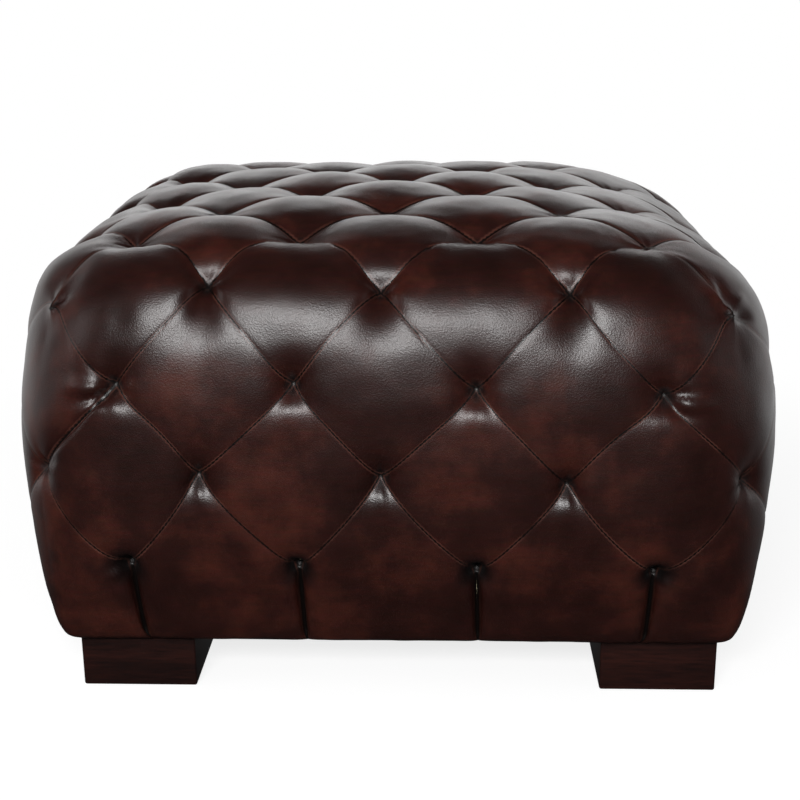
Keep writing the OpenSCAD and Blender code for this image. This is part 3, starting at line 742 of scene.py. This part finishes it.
def cover_shell(steps):
    """All the patches as one bmesh in mm. Layers keep what the leather's finish needs."""
    bm = bmesh.new()
    names = ("seam_mm", "tuft_mm", "along_mm", "hide", "push")
    layers = {name: bm.verts.layers.float.new(name) for name in names}
    for number, (kind, p, row, keys) in enumerate(patches):
        wide, tall = (2 * steps, round(PANEL_STEPS * steps)) if kind == "panel" else (steps, steps)
        verts = bmesh.ops.create_grid(bm, x_segments=wide, y_segments=tall, size=0.5)["verts"]
        s, t = np.array([(v.co.x + 0.5, v.co.y + 0.5) for v in verts]).T
        chance = random.Random("patch %d" % number)
        skew = (chance.uniform(0.9, 1.1), chance.uniform(0.9, 1.1))
        swell = chance.uniform(-0.035, 0.035)
        shifts = [Vector() if key is None else tuft_shift(key) for key in keys]
        if kind == "panel":
            where, h, shift, marks = lower_panel(p, keys, shifts, s, t)
        else:
            where, h, shift, marks = diamond(
                kind, (p, row), keys, shifts, spaced(s), spaced(t), skew, swell, kind + str(number)
            )
        low, high = on_line(*where, tuft_line), on_line(*where, crown_line, PINCH)
        place = low + (high - low) * h[:, None] + shift
        place[:, 2] -= sag(place, h)
        marks["push"] += hand_folds(place)
        marks["hide"] = np.full(len(verts), chance.random())
        for k, vert in enumerate(verts):
            vert.co = place[k]
            for name, layer in layers.items():
                vert[layer] = marks[name][k]
    bmesh.ops.remove_doubles(bm, verts=bm.verts, dist=TOUCH)
    bmesh.ops.recalc_face_normals(bm, faces=bm.faces)
    bm.normal_update()
    for vert in bm.verts:
        uneven = sum(noise.noise(vert.co / width) * height for width, height in UNEVEN)
        fade = min(vert[layers["seam_mm"]] / SEAM_FADE, 1) if vert.co.z > HEM_HEIGHT else 0
        vert.co += vert.normal * (vert[layers["push"]] + uneven * fade)
    return bm


leather, shader = new_material(
    "bonded leather, antiqued brown", roughness=0.36, Specular_IOR_Level=0.5
)
place = add_node(leather, "ShaderNodeTexCoord").outputs["Object"]
near_seam, near_tuft, along, hide = (
    add_node(leather, "ShaderNodeAttribute", attribute_name=name).outputs["Fac"]
    for name in ("seam_mm", "tuft_mm", "along_mm", "hide")
)
# hand-rubbed antiquing: patches about 75 mm across, from nearly black to red-brown, each diamond its own tone
blotch = add_node(
    leather, "ShaderNodeTexNoise", {"Vector": place, "Scale": 1 / 0.075, "Detail": 5.0, "Roughness": 0.6}
).outputs["Fac"]
shade = add_node(
    leather, "ShaderNodeMath", {0: hide, 1: 0.06, 2: blotch}, operation="MULTIPLY_ADD"
).outputs[0]
colour = add_node(
    leather, "ShaderNodeValToRGB", {"Fac": shade},
    stops=[(0.36, "#1e0b08"), (0.74, "#401a11"), (0.54, "#280f0b")],
).outputs["Color"]
# fine brush marks of the finish, drawn out sideways, and 2 mm high, coarser than real, so that they show
brushed = add_node(leather, "ShaderNodeMapping", {"Vector": place, "Scale": (0.12, 0.12, 1.0)}).outputs[0]
brush = add_node(
    leather, "ShaderNodeTexNoise", {"Vector": brushed, "Scale": 1 / 0.0022, "Detail": 3.0}
).outputs["Color"]
colour = add_node(
    leather, "ShaderNodeMix", {"Factor": 0.3, "A": colour, "B": brush}, data_type="RGBA", blend_type="OVERLAY"
).outputs["Result"]
# painted shade in the pits: the leather is coloured nearly black within a few mm of each tuft, for the shadow
# deep in them
out_of_pit_shade = add_node(
    leather, "ShaderNodeMapRange", {"Value": near_tuft, "From Min": 2.0, "From Max": 11.0},
    interpolation_type="SMOOTHSTEP",
).outputs[0]
colour = add_node(
    leather, "ShaderNodeMix", {"Factor": out_of_pit_shade, "A": linear("#080303"), "B": colour}, data_type="RGBA"
).outputs["Result"]
# the sewn seam: a dark line 1.5 mm wide, or 3 mm on the top, with a stitch every 5 mm, and a painted
# highlight in patches on the lip beside it
stitch = add_node(
    leather, "ShaderNodeMath", {0: along, 1: 2 * math.pi / 5.0}, operation="MULTIPLY"
).outputs[0]
stitch = add_node(leather, "ShaderNodeMath", {0: stitch}, operation="SINE").outputs[0]
off_seam = add_node(
    leather, "ShaderNodeMath", {0: stitch, 1: 0.2, 2: near_seam}, operation="MULTIPLY_ADD"
).outputs[0]
lip_highlight = add_node(
    leather, "ShaderNodeMapRange",
    {"Value": off_seam, "From Min": 0.9, "From Max": 2.1, "To Min": 0.38, "To Max": 0.0},
).outputs[0]
patchy_highlight = add_node(
    leather, "ShaderNodeTexNoise", {"Vector": place, "Scale": 1 / 0.03, "Detail": 2.0}
).outputs["Fac"]
patchy_highlight = add_node(
    leather, "ShaderNodeMapRange", {"Value": patchy_highlight, "From Min": 0.36, "From Max": 0.56}
).outputs[0]
lip_highlight = add_node(leather, "ShaderNodeMath", {0: lip_highlight, 1: patchy_highlight}, operation="MULTIPLY").outputs[0]
colour = add_node(
    leather, "ShaderNodeMix", {"Factor": lip_highlight, "A": colour, "B": linear("#6f4236")}, data_type="RGBA"
).outputs["Result"]
# the dark line is the seam's own colour; along shut pleats and creases, and where the top's lines are wider,
# it is painted shade
line = add_node(
    leather, "ShaderNodeMapRange", {"Value": off_seam, "From Min": 0.4, "From Max": 1.0}
).outputs[0]
add_node(
    leather, "ShaderNodeMix", {"Factor": line, "A": linear("#090403"), "B": colour},
    to=shader.inputs["Base Color"], data_type="RGBA",
)
# the sheen is uneven over the open leather and duller in the pits
dull = add_node(
    leather, "ShaderNodeMapRange",
    {"Value": blotch, "From Min": 0.3, "From Max": 0.7, "To Min": 0.33, "To Max": 0.4},
).outputs[0]
add_node(
    leather, "ShaderNodeMix", {"Factor": out_of_pit_shade, "A": 0.5, "B": dull}, to=shader.inputs["Roughness"],
    data_type="FLOAT",
)
# pebbled grain with finer pores between, 1.4 mm across, coarser than real, so that it shows
pebble = add_node(
    leather, "ShaderNodeTexVoronoi", {"Vector": place, "Scale": 1 / 0.0014}
).outputs["Distance"]
pores = add_node(
    leather, "ShaderNodeTexNoise", {"Vector": place, "Scale": 1 / 0.0009, "Detail": 2.0}
).outputs["Fac"]
grain = add_node(
    leather, "ShaderNodeMath", {0: pores, 1: 0.6, 2: pebble}, operation="MULTIPLY_ADD"
).outputs[0]
add_node(
    leather, "ShaderNodeBump", {"Height": grain, "Strength": 0.5, "Distance": 0.0002},
    to=shader.inputs["Normal"],
)

bm = cover_shell(FINE)
bmesh.ops.scale(bm, vec=(0.001, 0.001, 0.001), verts=bm.verts)
cover = make_piece("tufted_leather", bm, leather)
cover.data.shade_smooth()
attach(cover, "root")
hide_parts("tufted_cover")

# Twines up to the leather
# The twines of the top and the sides, drawn as far as the tufts of the crowned top and the full sides.
# Those at the corners of the sides, where the leather lies no further out, stay as long as they are.
TOP_END = 0.02  # m: the end of a top twine that is moved up or down with its tuft
SIDE_END = 0.3  # m out: where the outer ends of the side twines start
BY_CORNER = 0.04  # m from the diagonal, within which a side twine belongs to a corner
BEHIND_TUFT = 0.002  # m from a side tuft back to the end of its twine
top_edge = float(smooth(np.array(float(REACH)), tuft_line, 2))

for name in ("top_tuft_twines", "side_tuft_twines"):
    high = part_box(name)[1]
    bm = bmesh.new()
    bm.from_mesh(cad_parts[name].data)
    bmesh.ops.remove_doubles(bm, verts=bm.verts, dist=HAIR)
    for vert in bm.verts:
        x, y, z = vert.co
        out = max(abs(x), abs(y))
        if name == "top_tuft_twines" and z > high.z - TOP_END:
            q = np.array(out * 1000 / HALF_STEP)
            vert.co.z += float(smooth(q, tuft_line, 2)) / 1000 - high.z
        elif name == "side_tuft_twines" and abs(abs(x) - abs(y)) > BY_CORNER and out > SIDE_END:
            q = np.array(REACH + (top_edge - z * 1000) / HALF_STEP)
            reach = float(smooth(np.clip(q, 5, 7), tuft_line, 1)) / 1000 - BEHIND_TUFT
            if abs(x) > abs(y):
                vert.co.x = math.copysign(max(abs(x), reach), x)
            else:
                vert.co.y = math.copysign(max(abs(y), reach), y)
    drawn = make_piece("drawn_" + name, bm, twine)
    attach(drawn, "root")
    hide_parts(name)

# Dust cover
# Black spunbonded polypropylene cloth, 588 mm square, stapled up over the hem. It is stretched by hand, so
# it dips a little between the feet. The bonding leaves a grid of dots.
CLOTH = 0.0003  # m thick
DIP = 0.0028  # m in the middle
PUCKER, PUCKER_STEP = 0.0005, 0.036  # m high and apart, along the edges

cloth, shader = new_material("spunbonded dust cloth", roughness=0.9)
place = add_node(cloth, "ShaderNodeTexCoord").outputs["Object"]
dots = add_node(
    cloth, "ShaderNodeTexVoronoi", {"Vector": place, "Scale": 1 / 0.003, "Randomness": 0.2}
).outputs["Distance"]
add_node(
    cloth, "ShaderNodeValToRGB", {"Fac": dots}, to=shader.inputs["Base Color"],
    stops=[(0.2, "#0e0e10"), (0.5, "#1d1d20")],
)
add_node(
    cloth, "ShaderNodeBump", {"Height": dots, "Strength": 0.4, "Distance": 0.0002},
    to=shader.inputs["Normal"],
)
low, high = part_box("dust_cover")
half_cloth = high.x
bm = bmesh.new()
bmesh.ops.create_grid(bm, x_segments=70, y_segments=70, size=half_cloth)
for vert in bm.verts:
    # the cloth is held at its edges and by the feet, and dips and puckers where it is free
    x, y = abs(vert.co.x) / half_cloth, abs(vert.co.y) / half_cloth
    held = max(x, y)
    over_foot = ramp(min(x, y), 0.6, 0.7)
    along_edge = vert.co.x if y > x else vert.co.y
    pucker = 1 + math.sin(along_edge * 2 * math.pi / PUCKER_STEP)
    by_edge = max(0, (held - 0.8) / 0.2) * (1 - held) / 0.1
    dip = DIP * (1 - x * x) * (1 - y * y) + PUCKER * by_edge * pucker
    vert.co.z = high.z - CLOTH - dip * (1 - over_foot)
sheet = make_piece("stapled_dust_cover", bm, cloth)
sheet.data.shade_smooth()
wall = sheet.modifiers.new("cloth thickness", "SOLIDIFY")
wall.thickness = CLOTH
wall.offset = -1

# Staples of the dust cover
# Crown staples of zinc-plated wire, 10 mm wide, shot through the cloth and the hem every 34.5 mm, 6 mm in
# from the edge of the cloth.
STAPLE = 0.010, 0.0012, 0.0006
STAPLE_STEP, STAPLE_IN = 0.0345, 0.006
ABOVE_FACE = 0.0001  # m: the middle of a staple over the lower face of the cloth

bm = bmesh.new()
for quarter in range(4):
    for k in range(-7, 8):
        place = Matrix.Rotation(math.pi / 2 * quarter, 4, "Z") @ Matrix.Translation(
            (STAPLE_STEP * k, STAPLE_IN - half_cloth, low.z + ABOVE_FACE)
        )
        bmesh.ops.create_cube(bm, size=1.0, matrix=place @ Matrix.Diagonal((*STAPLE, 1.0)))
ease(bm, bm.edges[:], 0.0002, 1)
staples = make_piece("dust_cover_staples", bm, zinc)
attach(sheet, "root")
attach(staples, "root")
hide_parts("dust_cover")

# Floor, light and camera
# A white studio floor. Camera and transmitted rays see it as plain white with the pouf's shadow near the
# pouf.
# In reflections it is dim in front of the pouf and white behind it, and the light that it sends back to the
# pouf is that of a pale grey floor.
white, shader = new_material("white studio floor", roughness=0.9, Specular_IOR_Level=0.0)
shader.inputs["Base Color"].default_value = (0.4, 0.4, 0.4, 1)
place = add_node(white, "ShaderNodeTexCoord").outputs["Object"]
away = add_node(white, "ShaderNodeVectorMath", {0: place}, operation="LENGTH").outputs["Value"]
far = add_node(
    white, "ShaderNodeMapRange", {"Value": away, "From Min": 0.55, "From Max": 1.1},
    interpolation_type="SMOOTHSTEP",
).outputs[0]
parts = add_node(white, "ShaderNodeSeparateXYZ", {"Vector": place}).outputs
sweep = add_node(
    white, "ShaderNodeMapRange", {"Value": parts["Y"], "From Min": -0.3, "From Max": 0.9},
    interpolation_type="SMOOTHSTEP",
).outputs[0]
shadow = add_node(white, "ShaderNodeBsdfDiffuse", {"Color": (0.3, 0.3, 0.3, 1)}).outputs[0]
glow = add_node(white, "ShaderNodeEmission", {"Color": (1, 1, 1, 1), "Strength": 0.8}).outputs[0]
close = add_node(white, "ShaderNodeAddShader", {0: shadow, 1: glow}).outputs[0]
plain = add_node(white, "ShaderNodeEmission", {"Color": (1, 1, 1, 1), "Strength": 1.0}).outputs[0]
shown = add_node(white, "ShaderNodeMixShader", {0: far, 1: close, 2: plain}).outputs[0]
dim = add_node(white, "ShaderNodeEmission", {"Color": (1, 1, 1, 1), "Strength": 0.02}).outputs[0]
mirrored = add_node(white, "ShaderNodeMixShader", {0: sweep, 1: dim, 2: plain}).outputs[0]
path = add_node(white, "ShaderNodeLightPath").outputs
glossy = add_node(
    white, "ShaderNodeMixShader", {0: path["Is Glossy Ray"], 1: shader.outputs[0], 2: mirrored}
).outputs[0]
direct = add_node(
    white, "ShaderNodeMath", {0: path["Is Camera Ray"], 1: path["Is Transmission Ray"]}, operation="MAXIMUM"
).outputs[0]
add_node(
    white, "ShaderNodeMixShader", {0: direct, 1: glossy, 2: shown},
    to=white.node_tree.nodes["Material Output"].inputs["Surface"],
)
bm = bmesh.new()
bmesh.ops.create_grid(bm, x_segments=1, y_segments=1, size=40.0)
floor = make_piece("studio_floor", bm, white)

# The world is white to the camera. In reflections it is the white sweep behind the pouf, and a dim
# room in front of it and overhead. As light it is an even fill.
world = bpy.data.worlds.new("white sweep")
scene.world = world
world.use_nodes = True
toward = add_node(world, "ShaderNodeTexCoord").outputs["Generated"]
parts = add_node(world, "ShaderNodeSeparateXYZ", {"Vector": toward}).outputs
behind = add_node(
    world, "ShaderNodeMapRange", {"Value": parts["Y"], "From Min": 0.2, "From Max": 0.7},
    interpolation_type="SMOOTHSTEP",
).outputs[0]
low_down = add_node(
    world, "ShaderNodeMapRange",
    {"Value": parts["Z"], "From Min": 0.12, "From Max": 0.55, "To Min": 1.0, "To Max": 0.0},
    interpolation_type="SMOOTHSTEP",
).outputs[0]
mirrored = add_node(world, "ShaderNodeMath", {0: behind, 1: low_down}, operation="MULTIPLY").outputs[0]
path = add_node(world, "ShaderNodeLightPath").outputs
room = add_node(
    world, "ShaderNodeMix", {"Factor": mirrored, "A": 0.012, "B": 1.2}, data_type="FLOAT"
).outputs["Result"]
light = add_node(
    world, "ShaderNodeMix", {"Factor": path["Is Glossy Ray"], "A": 0.33, "B": room}, data_type="FLOAT"
).outputs["Result"]
direct = add_node(
    world, "ShaderNodeMath", {0: path["Is Camera Ray"], 1: path["Is Transmission Ray"]}, operation="MAXIMUM"
).outputs[0]
background = world.node_tree.nodes["Background"]
add_node(
    world, "ShaderNodeMix", {"Factor": direct, "A": light, "B": 1.0}, to=background.inputs["Strength"],
    data_type="FLOAT",
)
background.inputs["Color"].default_value = (1, 1, 1, 1)


def softbox(name, place, aim, size, watts):
    lamp = bpy.data.lights.new(name, "AREA")
    lamp.shape = "RECTANGLE"
    lamp.size, lamp.size_y = size
    lamp.energy = watts
    box = bpy.data.objects.new(name, lamp)
    scene.collection.objects.link(box)
    box.location = place
    box.rotation_euler = (Vector(aim) - Vector(place)).to_track_quat("-Z", "Y").to_euler()
    box.visible_camera = False


softbox("front softbox", place=(-0.25, -2.4, 1.5), aim=(0, -0.2, 0.3), size=(1.3, 0.5), watts=58)
softbox("back softbox", place=(-0.1, 2.4, 1.05), aim=(0, 0.1, 0.44), size=(2.2, 0.4), watts=6)
softbox("left softbox", place=(-2.6, -0.9, 1.1), aim=(0, 0, 0.25), size=(0.7, 1.1), watts=5)
softbox("right softbox", place=(2.6, -0.7, 1.0), aim=(0, 0, 0.25), size=(0.7, 1.1), watts=1.5)

# the camera that took the photograph, fitted to the tufts and the feet
PHOTO_WIDTH, FOCAL_LENGTH = 800, 1374.07  # pixels
TURNED, TILTED_DOWN, ROLLED = 2.0985, 16.884, -0.449  # degrees
EYE = 0.0485, -1.4912, 0.6507  # m

lens = bpy.data.cameras.new("camera")
lens.sensor_width = 36.0
lens.lens = FOCAL_LENGTH / PHOTO_WIDTH * lens.sensor_width
camera = bpy.data.objects.new("camera", lens)
scene.collection.objects.link(camera)
camera.matrix_world = (
    Matrix.Translation(EYE)
    @ Matrix.Rotation(math.radians(TURNED), 4, "Z")
    @ Matrix.Rotation(math.radians(90 - TILTED_DOWN), 4, "X")
    @ Matrix.Rotation(math.radians(ROLLED), 4, "Z")
)
scene.camera = camera
scene.view_settings.view_transform = "Standard"
